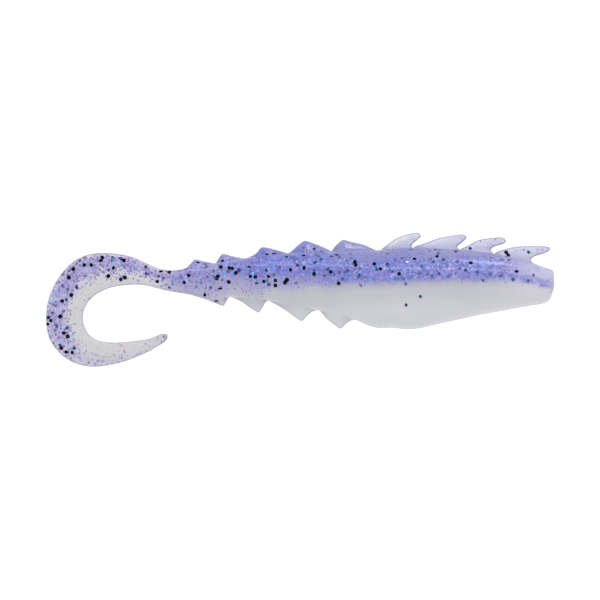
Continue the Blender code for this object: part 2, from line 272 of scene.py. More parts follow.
def loft():
    """The moulding as a grid, rings along it by columns around it: the points, what the plastics
    need to know at each one, and the rings on the joints' axes."""
    back = [(s.back_x, s.back_z) for s in STATIONS]
    belly = [(s.belly_x, s.belly_z) for s in STATIONS]
    steps = []
    for n in range(len(STATIONS) - 1):
        reach = max(math.dist(back[n], back[n + 1]), math.dist(belly[n], belly[n + 1]))
        steps.append(max(1, math.ceil(reach / RIB_STEP)))
    rib_of = np.concatenate([[0], np.cumsum(steps)])
    ribs = np.arange(rib_of[-1] + 1)
    back = outline(back, ["k" in s.corner for s in STATIONS], steps)
    belly = outline(belly, ["y" in s.corner for s in STATIONS], steps)
    rounding = max(1, round(2 * (CORNER_RADIUS / RIB_STEP) ** 2))
    back, belly = softened(back, rounding), softened(belly, rounding)
    half = softened(np.interp(ribs, rib_of, [s.half for s in STATIONS]), HALF_SOFTENING)
    pearl = softened(np.interp(ribs, rib_of, [s.pearl for s in STATIONS]), PEARL_SOFTENING)

    joints = [rib_of[n] for n, s in enumerate(STATIONS) if s.joint]
    low, high = core_shares(back, belly, joints[FIRST_TOOTHED - 1:LAST_TOOTHED + 1])

    belly_part = 1.0 - np.sin(np.pi / 2 * np.arange(BELLY_ROWS, 0, -1) / BELLY_ROWS)
    back_part = np.sin(np.pi / 2 * np.arange(BACK_ROWS + 1) / BACK_ROWS)
    share = np.concatenate([pearl[:, None] * belly_part,
                            pearl[:, None] + (1 - pearl[:, None]) * back_part], axis=1)
    flat = belly[:, None, :] + share[..., None] * (back - belly)[:, None, :]
    edges = np.concatenate([back, belly[::-1]])
    edge = distance_to_outline(flat.reshape(-1, 2), edges).reshape(share.shape)
    thick = section_half(share, low[:, None], high[:, None], half[:, None], edge)
    thick[:, 0] = thick[:, -1] = 0.0
    side = np.stack([flat[..., 0], -thick, flat[..., 1]], axis=2)
    other = side[:, -2:0:-1] * (1, -1, 1)
    rings = np.concatenate([side, other], axis=1)
    # Distance above the line between the layers, and distance from the outline, in millimetres.
    height = np.linalg.norm(back - belly, axis=1)[:, None]
    above = (share - pearl[:, None]) * height
    facts = np.stack([above, edge, np.zeros_like(edge)], axis=2)
    facts = np.concatenate([facts, facts[:, -2:0:-1]], axis=1)
    return rings, facts, joints


NOSE_RINGS = (0.05, 0.35, 0.65, 0.87)  # sizes of the rings across the flat nose face
NOSE_DOME = 0.12  # how far the face's middle stands out
NOSE_REACH = 1.6  # distance from the face's middle to its edge
TIP_RINGS = ((0.75, 0.08), (0.4, 0.14), (0.05, 0.16))  # size and reach of those on the tip


def with_ends(rings, facts):
    """The grid closed at both ends: the flat face of the nose, and the round end of the tail."""
    nose_centre, tip_centre = rings[0][SEAM_COLUMN] * (1, 0, 1), rings[-1].mean(0)
    ahead = tip_centre - rings[-4].mean(0)
    ahead /= np.linalg.norm(ahead)
    nose, known = [], []
    for size in NOSE_RINGS:
        dome = np.array((NOSE_DOME * (1 - size**2), 0.0, 0.0))
        nose.append(nose_centre + dome + size * (rings[0] - nose_centre))
        known.append(facts[0] * (size, 0.0, 1.0) + (0.0, (1 - size) * NOSE_REACH, 0.0))
    tip = [tip_centre + ahead * reach + size * (rings[-1] - tip_centre)
           for size, reach in TIP_RINGS]
    rings = np.concatenate([nose, rings, tip])
    facts = np.concatenate([known, facts, [facts[-1]] * len(tip)])
    return rings, facts


def grid_normals(rings):
    along = np.gradient(rings, axis=0)
    around = np.roll(rings, -1, axis=1) - np.roll(rings, 1, axis=1)
    normals = np.cross(around, along)
    return normals / np.maximum(np.linalg.norm(normals, axis=2, keepdims=True), 1e-12)


# ---------------------------------------------------------------- materials


COLOUR_A, COLOUR_B, COLOUR_RESULT = 6, 7, 2  # a Mix node's sockets for colours


class Shader:
    """A material's node tree, with short calls for the nodes that the plastics share."""

    def __init__(self, name):
        self.material = bpy.data.materials.new(name)
        self.material.use_nodes = True
        self.nodes = self.material.node_tree.nodes
        self.links = self.material.node_tree.links
        self.surface = self.nodes["Principled BSDF"]

    def put(self, socket, value):
        if isinstance(value, bpy.types.NodeSocket):
            self.links.new(value, socket)
        else:
            socket.default_value = value

    def set(self, **values):
        """Plain values for the Principled shader's own sockets, by name with _ for a space."""
        for name, value in values.items():
            self.surface.inputs[name.replace("_", " ")].default_value = value

    def attribute(self, name):
        node = self.nodes.new("ShaderNodeAttribute")
        node.attribute_name = name
        return node.outputs["Vector"]

    def parts(self, vector):
        node = self.nodes.new("ShaderNodeSeparateXYZ")
        self.put(node.inputs[0], vector)
        return node.outputs[0], node.outputs[1], node.outputs[2]

    def math(self, operation, a, b=0.0, c=0.0):
        node = self.nodes.new("ShaderNodeMath")
        node.operation = operation
        for socket, value in zip(node.inputs, (a, b, c)):
            self.put(socket, value)
        return node.outputs[0]

    def times(self, a, b):
        return self.math("MULTIPLY", a, b)

    def fade(self, value, low, high, start=0.0, end=1.0):
        """A smooth step from start to end as value goes from low to high."""
        node = self.nodes.new("ShaderNodeMapRange")
        node.interpolation_type = "SMOOTHSTEP"
        self.put(node.inputs["Value"], value)
        node.inputs["From Min"].default_value = low
        node.inputs["From Max"].default_value = high
        node.inputs["To Min"].default_value = start
        node.inputs["To Max"].default_value = end
        return node.outputs[0]

    def noise(self, place, scale, detail=2.0):
        node = self.nodes.new("ShaderNodeTexNoise")
        self.put(node.inputs["Vector"], place)
        node.inputs["Scale"].default_value = scale
        node.inputs["Detail"].default_value = detail
        return node.outputs[0]

    def cells(self, place, size, blur=0.0):
        """Random cells of this size in millimetres: the distance from a cell's middle, in
        millimetres, and the cell's two random numbers."""
        node = self.nodes.new("ShaderNodeTexVoronoi")
        self.put(node.inputs["Vector"], place)
        node.inputs["Scale"].default_value = 1.0 / size
        if blur:
            node.feature = "SMOOTH_F1"
            node.inputs["Smoothness"].default_value = blur
        split = self.nodes.new("ShaderNodeSeparateColor")
        self.links.new(node.outputs["Color"], split.inputs[0])
        far = self.math("MULTIPLY", node.outputs["Distance"], size)
        return far, split.outputs[0], split.outputs[1]

    def mix(self, factor, a, b, blend="MIX"):
        node = self.nodes.new("ShaderNodeMix")
        node.data_type = "RGBA"
        node.blend_type = blend
        node.clamp_factor = True
        self.put(node.inputs["Factor"], factor)
        self.put(node.inputs[COLOUR_A], a)
        self.put(node.inputs[COLOUR_B], b)
        return node.outputs[COLOUR_RESULT]

    def ramp(self, value, stops, smooth=True):
        """A colour ramp; stops are (position, colour) pairs."""
        node = self.nodes.new("ShaderNodeValToRGB")
        node.color_ramp.interpolation = "EASE" if smooth else "CONSTANT"
        elements = node.color_ramp.elements
        while len(elements) < len(stops):
            elements.new(0.5)
        for element, (position, colour) in zip(elements, stops):
            element.position = position
            element.color = colour
        self.put(node.inputs[0], value)
        return node.outputs[0]

    def bump(self, height, distance, strength=1.0):
        node = self.nodes.new("ShaderNodeBump")
        node.inputs["Strength"].default_value = strength
        node.inputs["Distance"].default_value = distance
        self.put(node.inputs["Height"], height)
        self.links.new(node.outputs[0], self.surface.inputs["Normal"])


def rgb(r, g, b):
    return (r, g, b, 1.0)


# Linear colours of the moulding.
PEARL_SEAM = rgb(0.315, 0.308, 0.395)
PEARL = rgb(0.400, 0.398, 0.448)
PEARL_LOW = rgb(0.485, 0.492, 0.520)
PEARL_NOSE = rgb(0.522, 0.514, 0.562)
PEARL_NECK = rgb(0.345, 0.342, 0.435)
PEARL_STALK = rgb(0.285, 0.270, 0.430)
PEARL_TAIL = rgb(0.478, 0.470, 0.475)
VIOLET = rgb(0.140, 0.145, 0.400)
VIOLET_BLUE = rgb(0.090, 0.130, 0.430)
VIOLET_TOP = rgb(0.215, 0.216, 0.395)
VIOLET_NOSE = rgb(0.440, 0.425, 0.560)
VIOLET_NECK = rgb(0.260, 0.243, 0.430)
VIOLET_DIM = rgb(0.050, 0.070, 0.400)
VIOLET_STALK = rgb(0.190, 0.180, 0.420)
VIOLET_TAIL = rgb(0.510, 0.468, 0.525)
# Painted shade: a darker rim along the moulding's outline.
PAINTED_RIM_SHADE = rgb(0.270, 0.260, 0.370)
SOUP = (
    (0.00, rgb(0.050, 0.050, 0.230)),
    (0.17, rgb(0.050, 0.100, 0.440)),
    (0.36, rgb(0.130, 0.140, 0.390)),
    (0.54, rgb(0.240, 0.150, 0.400)),
    (0.68, rgb(0.215, 0.240, 0.560)),
    (0.82, rgb(0.080, 0.260, 0.720)),
    (0.93, rgb(0.400, 0.290, 0.580)),
)
SPECKS = (
    (0.00, rgb(0.150, 0.070, 0.330)),
    (0.35, rgb(0.220, 0.130, 0.450)),
    (0.60, rgb(0.190, 0.210, 0.560)),
    (0.97, rgb(0.330, 0.190, 0.130)),
)
TAIL_SPECKS = (
    (0.00, rgb(0.110, 0.050, 0.250)),
    (0.26, rgb(0.210, 0.120, 0.370)),
    (0.50, rgb(0.130, 0.160, 0.480)),
    (0.64, rgb(0.200, 0.420, 0.780)),
    (0.76, rgb(0.400, 0.290, 0.540)),
    (0.88, rgb(0.090, 0.090, 0.150)),
    (0.97, rgb(0.230, 0.150, 0.220)),
)
PEARL_CLOUD = rgb(0.43, 0.46, 0.49)
SPINE_ROOT = rgb(0.290, 0.285, 0.470)
SPINE_CLEAR = rgb(0.610, 0.606, 0.640)
SPINE_VEIL = rgb(0.390, 0.390, 0.600)
SPINE_FRONT = rgb(0.440, 0.450, 0.620)
# Painted shade along a spine's outline.
SPINE_RIM_SHADE = rgb(0.270, 0.255, 0.370)
SPARKLE = rgb(0.160, 0.480, 0.880)
DEEP_FLAKE = rgb(0.035, 0.050, 0.165)

TAIL_SPREAD = 1.3  # how much further the two shots run into each other in the tail
NECK_SPREAD = 3.0  # and in front of it
DENSE_CELL = 0.42  # size of the crisp grains of the glitter's mosaic, in millimetres
BLURRED_CELL = 0.65  # and of those that lie deeper
SPECK_CELL = 0.55  # spacing of the fine specks
TAIL_SPECK_CELL = 0.60  # and of the tail's
BLOT_CELL = 1.45  # spacing of the large flakes that lie deep
SPARK_CELL = 0.95  # spacing of the bright blue sparkles


def plastisol(name):
    """Both shots of the moulding, which run into each other along an uneven line."""
    s = Shader(name)
    place = s.attribute("rest")
    above, edge, tail = s.parts(s.attribute("layers"))
    along, _, _ = s.parts(place)
    wander = s.math("MULTIPLY_ADD", s.noise(place, 0.30), 1.6, -0.8)
    ragged = s.math("MULTIPLY_ADD", s.noise(place, 1.3, 1.0), 0.5, -0.25)
    level = s.math("ADD", above, s.math("ADD", wander, ragged))
    tip = s.fade(tail, 1.0, 2.0)
    tail = s.math("MINIMUM", tail, 1.0)
    curl = s.fade(along, -56.0, -80.0)
    spread = s.times(tail, s.fade(curl, 0.3, 1.0, NECK_SPREAD, TAIL_SPREAD))
    level = s.math("DIVIDE", level, s.math("ADD", spread, 1.0))
    violet = s.times(s.fade(level, -1.0, 0.8), s.fade(tip, 0.0, 1.0, 1.0, 0.35))
    inner = s.fade(edge, 0.2, 1.6)

    neck = s.times(s.fade(along, -40.0, -52.0), s.fade(along, -73.0, -65.0))
    seam = s.mix(neck, PEARL_SEAM, PEARL_NECK)
    pearl = s.mix(s.fade(above, -0.2, -2.2), seam, PEARL)
    pearl = s.mix(s.fade(above, -2.0, -6.5), pearl, PEARL_LOW)
    pearl = s.mix(s.fade(along, -66.0, -73.0, 0.0, 0.8), pearl, PEARL_STALK)
    pearl = s.mix(s.fade(along, -73.0, -81.0), pearl, PEARL_TAIL)
    cloud = s.noise(place, 0.22, 1.0)
    pearl = s.mix(s.fade(cloud, 0.35, 0.7, 0.0, 0.15), pearl, PEARL_CLOUD)
    pearl = s.mix(s.fade(along, -18.0, -2.0, 0.0, 0.75), pearl, PEARL_NOSE)

    drift = s.noise(place, 0.45, 2.0)
    purple = s.mix(s.fade(drift, 0.38, 0.62), VIOLET, VIOLET_BLUE)
    smooth_back = s.times(s.fade(level, 2.5, 6.0), s.fade(along, -50.0, -40.0, 0.3, 1.0))
    purple = s.mix(smooth_back, purple, VIOLET_TOP)
    nose = s.fade(along, -16.0, -1.0)
    purple = s.mix(s.times(nose, s.fade(level, 0.8, 2.4, 0.68, 0.92)), purple, VIOLET_NOSE)
    purple = s.mix(curl, purple, VIOLET_TAIL)
    thin_neck = s.times(s.fade(along, -67.0, -73.0), s.fade(along, -80.0, -75.0))
    purple = s.mix(s.times(thin_neck, 0.6), purple, VIOLET_STALK)

    # The mosaic of fine glitter: thick in a band above the pearl, and thin towards the back.
    band = s.times(s.fade(level, -0.4, 0.5), s.fade(smooth_back, 0.0, 1.0, 1.0, 0.2))
    band = s.times(band, s.fade(inner, 0.0, 1.0, 0.35, 1.0))
    high_nose = s.times(nose, s.fade(level, 0.8, 2.2))
    band = s.times(band, s.fade(high_nose, 0.2, 0.9, 1.0, 0.15))
    band = s.times(band, s.fade(nose, 0.2, 1.0, 1.0, 0.55))
    band = s.times(band, s.fade(curl, 0.0, 1.0, 1.0, 0.65))
    _, pick, _ = s.cells(place, BLURRED_CELL, blur=0.6)
    deep = s.times(band, s.fade(s.noise(place, 0.4, 1.0), 0.30, 0.60, 0.3, 0.75))
    purple = s.mix(deep, purple, s.ramp(pick, SOUP))
    _, pick, lot = s.cells(place, DENSE_CELL)
    crisp = s.times(band, s.fade(s.noise(place, 0.55, 2.0), 0.35, 0.62, 0.15, 0.8))
    crisp = s.times(crisp, s.fade(lot, 0.25, 0.6))
    purple = s.mix(crisp, purple, s.ramp(pick, SOUP, smooth=False))

    # Behind the front body the violet pales towards the pearl and is deeper above it.
    middle = s.times(s.fade(along, -22.0, -32.0), s.fade(along, -66.0, -58.0))
    dim = s.times(middle, s.fade(above, 0.8, 2.0, 0.0, 0.24))
    purple = s.mix(s.times(dim, s.fade(above, 7.5, 5.5)), purple, VIOLET_DIM)
    pale = s.times(neck, s.fade(above, 2.9, 0.8, 0.0, 0.8))
    purple = s.mix(pale, purple, VIOLET_NECK)

    colour = s.mix(violet, pearl, purple)

    # Fine violet specks, which thin out a little way down into the pearl.
    far, pick, lot = s.cells(place, SPECK_CELL)
    density = s.fade(level, -1.3, 0.1, 0.0, 0.72)
    density = s.times(density, s.fade(nose, 0.3, 0.9, 1.0, 0.3))
    spot = s.times(s.fade(far, 0.25, 0.13), s.math("LESS_THAN", lot, density))
    reach = s.times(s.fade(level, -1.6, 0.2, 0.5, 0.85), s.fade(tip, 0.0, 1.0, 1.0, 0.6))
    colour = s.mix(s.times(spot, reach), colour, s.ramp(pick, SPECKS, smooth=False))

    # The tail's are coarser and of more colours.
    far, pick, lot = s.cells(place, TAIL_SPECK_CELL)
    density = s.fade(level, -1.1, 0.7, 0.02, 0.85)
    spot = s.times(s.fade(far, 0.33, 0.20), s.math("LESS_THAN", lot, density))
    reach = s.fade(curl, 0.1, 0.8, 0.0, 0.95)
    reach = s.times(reach, s.fade(s.noise(place, 0.35, 1.0), 0.35, 0.6, 0.5, 1.0))
    reach = s.times(reach, s.fade(tip, 0.0, 1.0, 1.0, 0.75))
    colour = s.mix(s.times(spot, reach), colour, s.ramp(pick, TAIL_SPECKS, smooth=False))

    # Large flakes that lie deep, blurred by the plastic over them.
    far, pick, _ = s.cells(place, BLOT_CELL)
    blot = s.times(s.fade(far, 0.50, 0.24), s.math("LESS_THAN", pick, 0.5))
    reach = s.times(s.fade(level, -0.6, 0.4, 0.0, 0.85), s.fade(nose, 0.1, 0.6, 1.0, 0.3))
    reach = s.times(reach, s.fade(tip, 0.0, 0.6, 1.0, 0.0))
    colour = s.mix(s.times(blot, reach), colour, DEEP_FLAKE)

    far, pick, _ = s.cells(place, SPARK_CELL)
    spark = s.times(s.fade(far, 0.26, 0.12), s.math("LESS_THAN", pick, 0.45))
    reach = s.fade(level, -0.8, 0.6, 0.0, 0.85)
    reach = s.times(reach, s.fade(edge, 0.4, 1.6))
    reach = s.times(reach, s.fade(s.noise(place, 0.5, 2.0), 0.42, 0.62, 0.15, 1.0))
    reach = s.times(reach, s.fade(tip, 0.0, 0.6, 1.0, 0.0))
    colour = s.mix(s.times(spark, reach), colour, SPARKLE)

    # Painted shade: the colour darkens along the outline, as shade at a silhouette.
    rim_shade = s.fade(edge, 0.36, 0.06, 0.0, 0.6)
    colour = s.mix(rim_shade, colour, PAINTED_RIM_SHADE)
    s.put(s.surface.inputs["Base Color"], colour)

    smear = s.noise(place, 0.9, 3.0)
    s.put(s.surface.inputs["Roughness"], s.fade(smear, 0.3, 0.7, 0.30, 0.42))
    s.set(IOR=1.45, Coat_Weight=0.4, Coat_Roughness=0.09, Coat_IOR=1.45)
    skin = s.math("ADD", s.noise(place, 2.5, 3.0), s.times(s.noise(place, 0.5), 2.0))
    s.bump(skin, 0.02 * MM, 0.5)
    return s.material


def spine_plastic():
    """The clear violet plastisol of the spines, with violet gathered at the root, and painted shade
    along the rims.
    """
    s = Shader("clear_violet_spine")
    place = s.attribute("rest")
    above, edge, _ = s.parts(s.attribute("layers"))
    body = s.mix(s.fade(above, -0.3, 1.6), SPINE_ROOT, SPINE_CLEAR)
    veil = s.noise(place, 0.6, 2.0)
    body = s.mix(s.fade(veil, 0.42, 0.68, 0.0, 0.6), body, SPINE_VEIL)
    along, _, _ = s.parts(place)
    body = s.mix(s.fade(along, -27.0, -23.0, 0.0, 0.55), body, SPINE_FRONT)
    far, _, lot = s.cells(place, 0.6)
    spot = s.times(s.fade(far, 0.20, 0.08), s.math("LESS_THAN", lot, 0.18))
    body = s.mix(s.times(spot, 0.6), body, SPECKS[1][1])
    # Painted shade: a darker rim along the spine's outline.
    body = s.mix(s.fade(edge, 0.40, 0.06, 0.0, 0.85), body, SPINE_RIM_SHADE)
    s.put(s.surface.inputs["Base Color"], body)
    s.put(s.surface.inputs["Roughness"], s.fade(veil, 0.3, 0.7, 0.22, 0.34))
    s.set(IOR=1.42, Coat_Weight=0.3, Coat_Roughness=0.1, Subsurface_Weight=0.3,
          Subsurface_Scale=0.8 * MM)
    s.bump(s.noise(place, 2.5, 3.0), 0.02 * MM, 0.5)
    return s.material


def glitter(name, colour, other_colour, roughness, shine):
    """A flake's foil under the clear plastic: its colour drifts from flake to flake."""
    s = Shader(name)
    drift = s.noise(s.attribute("rest"), 0.8, 1.0)
    s.put(s.surface.inputs["Base Color"], s.mix(s.fade(drift, 0.35, 0.65), colour, other_colour))
    s.put(s.surface.inputs["Roughness"], s.fade(drift, 0.3, 0.7, roughness, roughness + 0.12))
    s.set(Specular_IOR_Level=shine)
    return s.material


# ---------------------------------------------------------------- the moulding's pieces


def mesh_object(name, points, faces, normals, attributes, material):
    """A mesh in metres from points in millimetres, shaded by the given corner normals."""
    mesh = bpy.data.meshes.new(name)
    mesh.from_pydata((np.asarray(points) * MM).tolist(), [], faces)
    mesh.shade_smooth()
    if normals is not None:
        mesh.normals_split_custom_set(normals)
    for key, values in attributes.items():
        layer = mesh.attributes.new(key, "FLOAT_VECTOR", "POINT")
        layer.data.foreach_set("vector", np.asarray(values, np.float32).ravel())
    mesh.materials.append(material)
    obj = bpy.data.objects.new(name, mesh)
    bpy.context.scene.collection.objects.link(obj)
    return obj


def closed_strip(name, rings, normals, facts, first, last, columns, material):
    """The part of the grid between two rings and in these columns, as a closed solid."""
    columns = list(columns)
    wide = len(columns)
    rows = last - first + 1
    points = rings[first:last + 1][:, columns].reshape(-1, 3)
    outer = normals[first:last + 1][:, columns].reshape(-1, 3)
    known = facts[first:last + 1][:, columns].reshape(-1, 3)
    faces, corner_normals = [], []

    def wall(*corners):
        a, b, c = (points[k] for k in corners[:3])
        flat = np.cross(b - a, c - b)
        size = np.linalg.norm(flat)
        faces.append(corners)
        corner_normals.extend([tuple(flat / size) if size > 1e-9 else (0.0, 0.0, 0.0)] * len(corners))

    for i in range(rows - 1):
        for j in range(wide - 1):
            here = i * wide + j
            face = (here, here + 1, here + wide + 1, here + wide)
            faces.append(face)
            corner_normals.extend(tuple(outer[k]) for k in face)
        wall(i * wide + wide - 1, i * wide, (i + 1) * wide, (i + 1) * wide + wide - 1)
    apex = wide // 2
    for row, step in ((0, -1), (rows - 1, 1)):
        base = row * wide
        for j in range(apex):
            mirror = wide - 1 - j
            face = [base + j, base + j + 1, base + mirror - 1, base + mirror]
            if j == apex - 1:
                face = [base + j, base + j + 1, base + mirror]
            wall(*face[::step])
    attributes = {"rest": points, "layers": known}
    return mesh_object(name, points, faces, corner_normals, attributes, material)


SHORTEST_ZONE = 0.5  # length of moulding that a bend needs


def bend_zone(rings, pivot, first, last):
    """Where the moulding starts and stops bending about a joint: past the whole of both rings."""
    ends = rings[[first, last]]
    back, belly = ends[:, BELLY_ROWS + BACK_ROWS], ends[:, 0]
    across = (back - belly).sum(0)
    along = np.array((across[2], 0.0, -across[0]))
    along /= np.linalg.norm(along)
    if along @ (ends[1].mean(0) - ends[0].mean(0)) < 0:
        along = -along
    start = (ends[0] @ along).max() - pivot @ along
    end = (ends[1] @ along).min() - pivot @ along
    if end - start < SHORTEST_ZONE:
        raise ValueError("the rings are too slanted to leave a bending zone")
    return Vector((pivot + start * along) * MM), Vector((pivot + end * along) * MM)


def place_on_body(obj, link, zone):
    """Fixes a piece to the first link; any other piece keeps its place, its placing baked into the
    mesh.
    """
    if link == 0:
        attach(obj, LINK_NAMES[0])
    else:
        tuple(zone[0])
        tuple(zone[1])
        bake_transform(obj)


# ---------------------------------------------------------------- glitter

FLAKE_SIDES = 7
# Each kind of flake: how many lie on a square millimetre where they are dense, the radius, how
# far one stands out, the share that lies tilted, how much denser the tail is, the height above
# the pearl between which the flakes set in, and how near to the outline they come.
Kind = namedtuple("Kind", "density radius lift tilted tail low high edge")
KINDS = {
    "black_foil": Kind(0.130, 0.44, 0.030, 0.20, 1.0, -0.5, 0.6, 0.2),
    "ink_foil": Kind(0.045, 0.39, 0.024, 0.2, 0.9, -0.5, 0.8, 0.3),
    "slate_foil": Kind(0.014, 0.38, 0.022, 0.3, 0.6, -0.4, 0.8, 0.3),
    "blue_foil": Kind(0.150, 0.25, 0.020, 0.3, 0.6, -0.4, 1.0, 0.6),
    "pink_foil": Kind(0.080, 0.17, 0.016, 0.2, 0.5, -0.4, 1.0, 0.6),
    "violet_foil": Kind(0.300, 0.14, 0.012, 0.2, 1.6, -1.4, 0.4, 0.2),
    # Whitish flakes; their pale colour also paints glints of light.
    "pale_glint_foil": Kind(0.001, 0.30, 0.014, 0.2, 0.6, -0.4, 1.0, 0.6),
}
# The largest flakes on the near side, as (x, z), and the height over the length each one shows.
NEAR_FLAKES = {
    ("ink_foil", 1.0): (
        (-26.8, -3.1), (-29.6, -4.8), (-32.3, 1.8), (-45.2, 2.3), (-46.5, 4.3), (-56.9, -0.7),
        (-57.4, 2.1), (-88.9, 2.2), (-97.3, -9.4), (-99.3, -9.0), (-95.8, -13.4), (-98.7, -12.8),
        (-33.3, 3.3), (-38.9, 1.1),
    ),
    ("slate_foil", 1.0): (
        (-14.3, 0.1), (-8.3, 0.3), (-29.7, -0.6), (-38.6, -0.9), (-42.2, 0.4), (-26.5, 2.9),
        (-26.2, 2.3), (-28.5, 2.9), (-19.0, 2.4), (-19.4, 3.9), (-15.5, 1.8), (-14.0, 1.3),
        (-13.0, 1.6), (-31.7, 4.1), (-47.9, 2.2), (-47.0, 4.9), (-43.9, 1.3), (-4.2, 1.2),
        (-68.5, -1.3), (-76.8, -1.3), (-9.1, 4.2), (-5.3, 0.0), (-10.6, 1.1), (-10.4, 4.2),
    ),
    ("slate_foil", 0.45): (
        (-41.3, 6.2), (-40.6, 5.4), (-44.5, 5.0), (-24.9, 6.0), (-46.4, 6.0), (-50.0, 6.6),
    ),
    ("black_foil", 0.5): (
        (-47.9, 6.4), (-50.0, 5.1), (-43.4, 5.2), (-53.4, 4.8), (-55.9, 5.5), (-57.3, 5.3),
        (-60.9, 2.8), (-67.3, 0.3), (-66.6, -1.5), (-67.4, -4.0), (-71.1, 3.7), (-78.5, 1.9),
    ),
    ("black_foil", 1.0): (
        (-7.6, 1.9), (-16.7, 3.6), (-23.4, 4.9), (-27.9, 4.4), (-31.0, 1.4), (-35.9, 3.4),
        (-34.7, 2.4), (-39.6, 3.2), (-39.8, 3.8), (-43.0, -0.5), (-44.6, 1.8), (-47.9, 1.4),
        (-49.9, 2.6), (-52.6, 2.2), (-53.3, 0.2), (-53.7, -0.3), (-55.6, 0.1), (-55.6, -0.9),
        (-57.0, 0.9), (-57.9, -0.1), (-59.6, 0.8), (-60.6, 0.9), (-63.5, 1.6), (-64.2, 2.5),
        (-64.8, 2.6), (-64.9, -0.2), (-66.2, 4.0), (-66.5, 2.8), (-67.1, 0.9), (-69.7, -2.8),
        (-72.9, 1.1), (-73.8, -0.3), (-76.8, 1.8), (-79.2, -0.1), (-85.7, 0.7), (-85.9, 4.1),
        (-86.5, 0.3), (-88.0, 2.6), (-89.0, 1.0), (-90.2, 4.7), (-90.5, 4.1), (-92.4, 3.2),
        (-93.8, 3.2), (-96.0, 2.4), (-96.9, 0.7), (-96.4, -2.8), (-98.2, -4.0), (-98.6, -7.1),
        (-100.5, -7.9), (-101.0, -7.3), (-97.9, -10.4), (-97.1, -11.1), (-98.4, -13.4),
        (-97.4, -14.2), (-96.2, -14.3), (-101.1, -8.6),
    ),
    ("violet_foil", 1.0): ((-78.4, -12.1), (-77.7, -11.8), (-78.1, -12.2)),
    # A painted glint: a whitish flake on the back.
    ("pale_glint_foil", 0.5): ((-29.4, 3.8),),
}
# Painted highlight: a blue flake set against a black one stands for the cyan glint at its side.
CYAN_GLINT_SHARE = 0.35  # black flakes with a blue one against them


def flake_chance(kind, above, edge, tail, x):
    """How densely flakes of this kind lie at a place."""
    if edge < kind.edge:
        return 0.0
    thin_out = 1.0 - float(smoothstep(1.0, 1.6, tail))
    tail = min(1.0, tail)
    spread = float(smoothstep(kind.low, kind.high, above / (1.0 + TAIL_SPREAD * tail)))
    front = 0.15 + 0.85 * float(smoothstep(-16.0, -42.0, x))
    crown = 1.0 - 0.75 * float(smoothstep(4.5, 7.0, above)) * (1.0 - tail)
    return kind.density * spread * crown * thin_out * ((1.0 - tail) * front + tail * kind.tail)


def flake_places(rings, facts, tree):
    """Yields the ring, the kind, the spot, the surface's normal and the shape of every flake."""
    for (kind_name, shape), places in NEAR_FLAKES.items():
        for x, z in places:
            start = Vector((x, -THICKEST * 2, z))
            spot, normal, face, _ = tree.ray_cast(start, Vector((0, 1, 0)))
            yield face // RING, kind_name, spot, normal, shape
            # Painted highlight: a blue flake against the black one, for its cyan glint.
            if kind_name == "black_foil" and rng.random() < CYAN_GLINT_SHARE:
                aside = Vector((-0.45, 0.0, rng.uniform(-0.3, 0.3)))
                spot, normal, face, _ = tree.find_nearest(spot + aside)
                yield face // RING, "blue_foil", spot, normal, 1.0
    for kind_name, kind in KINDS.items():
        for i in range(len(rings) - 1):
            for j in range(RING):
                if kind_name == "black_foil" and j < RING // 2:
                    continue
                corners = rings[[i, i + 1, i], [j, j, (j + 1) % RING]]
                sides = corners[1:] - corners[0]
                area = np.linalg.norm(np.cross(*sides))
                if rng.random() < area * flake_chance(kind, *facts[i, j], corners[0][0]):
                    spot = corners[0] + rng.random() * sides[0] + rng.random() * sides[1]
                    spot, normal, _, _ = tree.find_nearest(Vector(spot))
                    shape = 1.0
                    if rng.random() < kind.tilted:
                        shape = rng.uniform(0.35, 0.6)
                    yield i, kind_name, spot, normal, shape


class FoilMesh:
    """One mesh that gathers the flakes that move together."""

    def __init__(self):
        self.points, self.faces, self.slots = [], [], []

    def add(self, kind_name, tree, centre, normal, shape):
        """A thin foil prism that lies in the surface and follows it."""
        kind = KINDS[kind_name]
        radius = kind.radius * rng.uniform(0.86, 1.1)
        turn = rng.uniform(-0.4, 0.4)
        if shape == 1.0:
            shape = rng.uniform(0.8, 1.0)
            turn = rng.uniform(0.0, math.pi)
        side = Vector((0, 0, 1)).cross(normal)
        if side.length < 0.1:
            side = Vector((1, 0, 0)).cross(normal)
        side.normalize()
        other = normal.cross(side)
        along = (side * math.cos(turn) + other * math.sin(turn)) * radius
        across = (other * math.cos(turn) - side * math.sin(turn)) * radius * shape
        start = len(self.points)
        for depth in (kind.lift, -kind.lift):
            for k in range(FLAKE_SIDES):
                angle = math.tau * k / FLAKE_SIDES
                corner = centre + along * math.cos(angle) + across * math.sin(angle)
                near, slope, _, _ = tree.find_nearest(corner)
                self.points.append(tuple(near + slope * depth))
        self.points.append(tuple(centre + normal * kind.lift))
        self.points.append(tuple(centre - normal * kind.lift))
        crown, foot = start + 2 * FLAKE_SIDES, start + 2 * FLAKE_SIDES + 1
        for k in range(FLAKE_SIDES):
            here, beside = start + k, start + (k + 1) % FLAKE_SIDES
            self.faces.append((crown, here, beside))
            self.faces.append((here, here + FLAKE_SIDES, beside + FLAKE_SIDES, beside))
            self.faces.append((foot, beside + FLAKE_SIDES, here + FLAKE_SIDES))
        self.slots.extend([list(KINDS).index(kind_name)] * (3 * FLAKE_SIDES))

    def make(self, name, foils):
        flakes = mesh_object(name, self.points, self.faces, None, {"rest": self.points}, foils[0])
        for material in foils[1:]:
            flakes.data.materials.append(material)
        flakes.data.polygons.foreach_set("material_index", self.slots)
        flakes.data.shade_flat()
        return flakes


